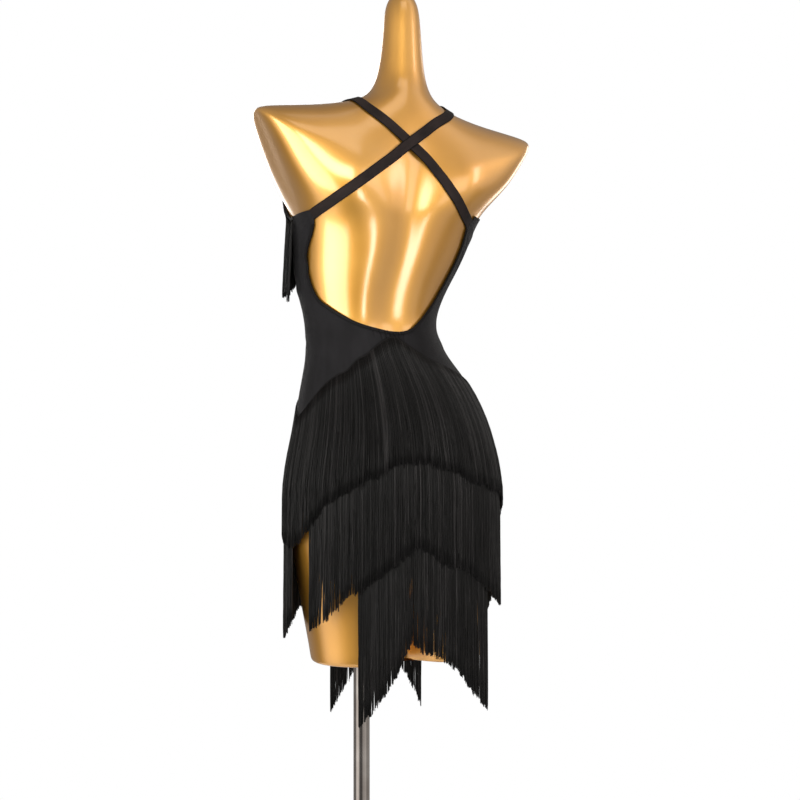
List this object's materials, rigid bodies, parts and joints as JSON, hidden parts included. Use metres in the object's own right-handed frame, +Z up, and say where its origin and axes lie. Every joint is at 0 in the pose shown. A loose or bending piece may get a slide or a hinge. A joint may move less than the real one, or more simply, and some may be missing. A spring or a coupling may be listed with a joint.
{
  "type": "latin dance dress on a limbless dress form",
  "caption": "Backless fringed latin dance dress with crossed straps, worn on a glossy limbless dress form that stands on a pole with a round base.",
  "frame": {"origin": "middle of the round base's flat underside, on the pole's axis", "axes": "+Z up along the pole; the dress's front faces -Y and the wearer's left side is +X"},
  "size_m": [0.4466, 0.31, 1.623],
  "materials": {
    "stand_chrome": "polished chrome plate",
    "form_gold": "high-gloss pale gold plated shell, smooth",
    "black_jersey": "matte black stretch jersey with a faint grey sheen",
    "black_elastic": "black elastic binding and strapping, matte",
    "black_fringe": "black twisted rayon fringe with a soft sheen along each strand"
  },
  "bodies": {
    "root": {"base_plate": "stand_chrome", "pole_collar": "stand_chrome", "pole": "stand_chrome", "form_body": "form_gold", "dress_back": "black_jersey", "dress_front": "black_jersey", "binding_back": "black_elastic", "binding_neckline": "black_elastic", "strap_from_left_side": "black_elastic", "strap_from_right_side": "black_elastic", "fringe_back_1": "black_fringe", "fringe_back_2": "black_fringe", "fringe_back_3": "black_fringe", "fringe_front_1": "black_fringe", "fringe_front_2": "black_fringe", "fringe_front_3": "black_fringe", "fringe_bust_left": "black_fringe", "fringe_bust_right": "black_fringe"}
  },
  "joints": []
}
